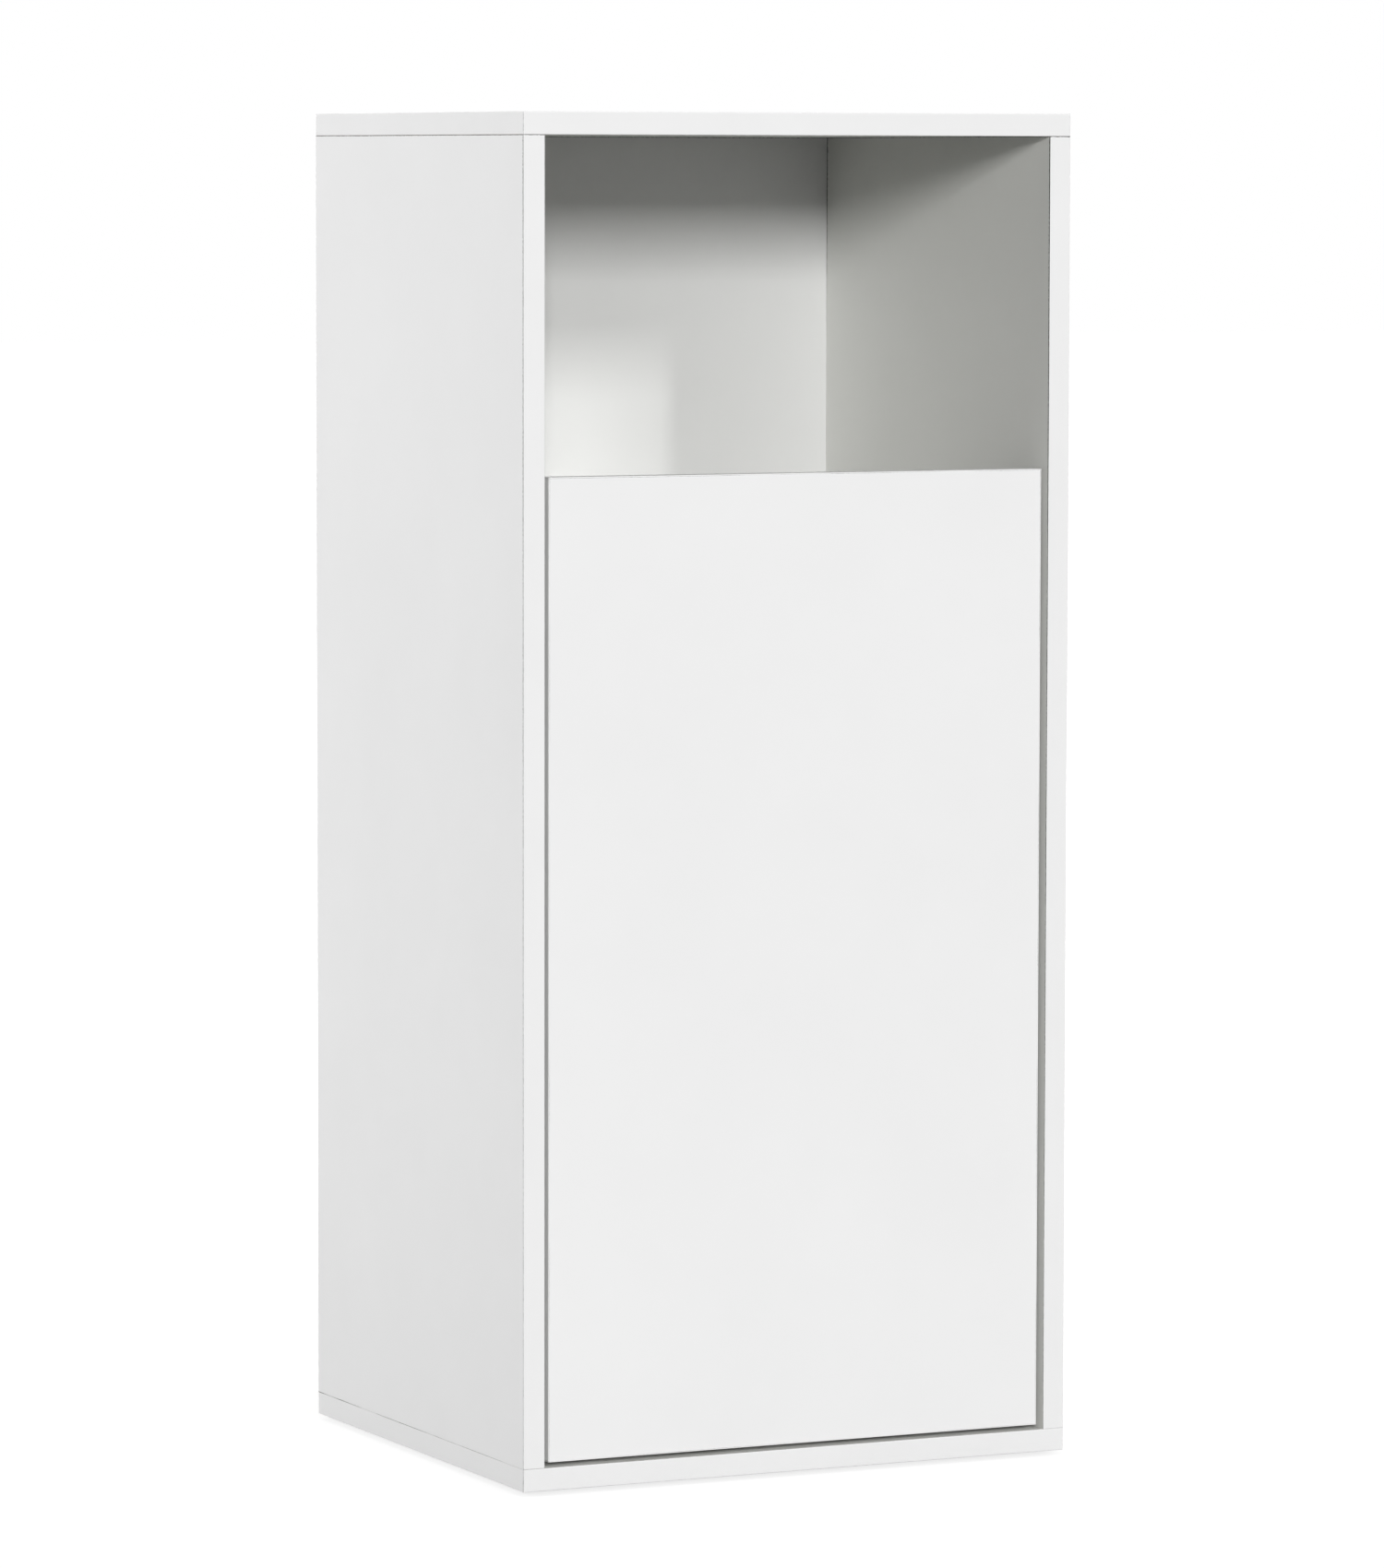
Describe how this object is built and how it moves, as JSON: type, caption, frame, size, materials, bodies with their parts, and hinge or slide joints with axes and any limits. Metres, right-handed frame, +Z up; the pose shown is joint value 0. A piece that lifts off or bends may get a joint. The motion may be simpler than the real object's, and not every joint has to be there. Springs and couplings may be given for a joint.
{
  "type": "linen cabinet",
  "caption": "Narrow white floor cabinet with an open compartment above a flat inset door that is hung on concealed hinges and hides a fixed and an adjustable shelf.",
  "frame": {"origin": "on the floor, under the middle of the cabinet", "axes": "+Z up, -Y out of the door's front face, +X to the right of someone facing the door"},
  "size_m": [0.4, 0.35, 0.905],
  "materials": {
    "white_board": "white melamine-faced particleboard, satin",
    "white_edge_band": "white edge band, satin",
    "white_back_board": "white-faced hardboard, matt",
    "beech": "bare beech",
    "plated_hinge_metal": "nickel-plated",
    "plated_steel": "zinc-plated",
    "white_plastic": "moulded, matt",
    "dark_magnet": "sintered, matt"
  },
  "bodies": {
    "carcass": {"adjustable_shelf": "white_board", "adjustable_shelf_edge_band": "white_edge_band", "back_panel": "white_back_board", "back_panel_nails": "plated_steel", "bottom_panel": "white_board", "bottom_panel_dowels": "beech", "bottom_panel_edge_bands": "white_edge_band", "catch_housing": "white_plastic", "catch_magnet": "dark_magnet", "catch_pole_plates": "plated_steel", "catch_screws": "plated_steel", "fixed_shelf": "white_board", "fixed_shelf_dowels": "beech", "fixed_shelf_edge_band": "white_edge_band", "floor_glide_nails": "plated_steel", "floor_glides": "white_plastic", "hinge_adjusting_screws": "plated_steel", "hinge_plate_screws": "plated_steel", "left_side_edge_band": "white_edge_band", "left_side_panel": "white_board", "lower_hinge_arm": "plated_hinge_metal", "lower_hinge_plate": "plated_hinge_metal", "right_side_edge_band": "white_edge_band", "right_side_panel": "white_board", "shelf_pins": "plated_steel", "top_panel": "white_board", "top_panel_dowels": "beech", "top_panel_edge_bands": "white_edge_band", "upper_hinge_arm": "plated_hinge_metal", "upper_hinge_plate": "plated_hinge_metal"},
    "door": {"door_panel": "white_board", "door_edge_bands": "white_edge_band", "lower_hinge_cup": "plated_hinge_metal", "upper_hinge_cup": "plated_hinge_metal", "lower_hinge_pin": "plated_steel", "upper_hinge_pin": "plated_steel", "hinge_cup_screws": "plated_steel", "catch_strike_plate": "plated_steel", "catch_strike_screw": "plated_steel"}
  },
  "joints": [
    {"name": "door_hinge", "type": "hinge", "parent": "carcass", "child": "door", "pos_m": [0.17, -0.163, 0.3445], "axis": [0, 0, 1], "range_deg": [0, 105]}
  ]
}
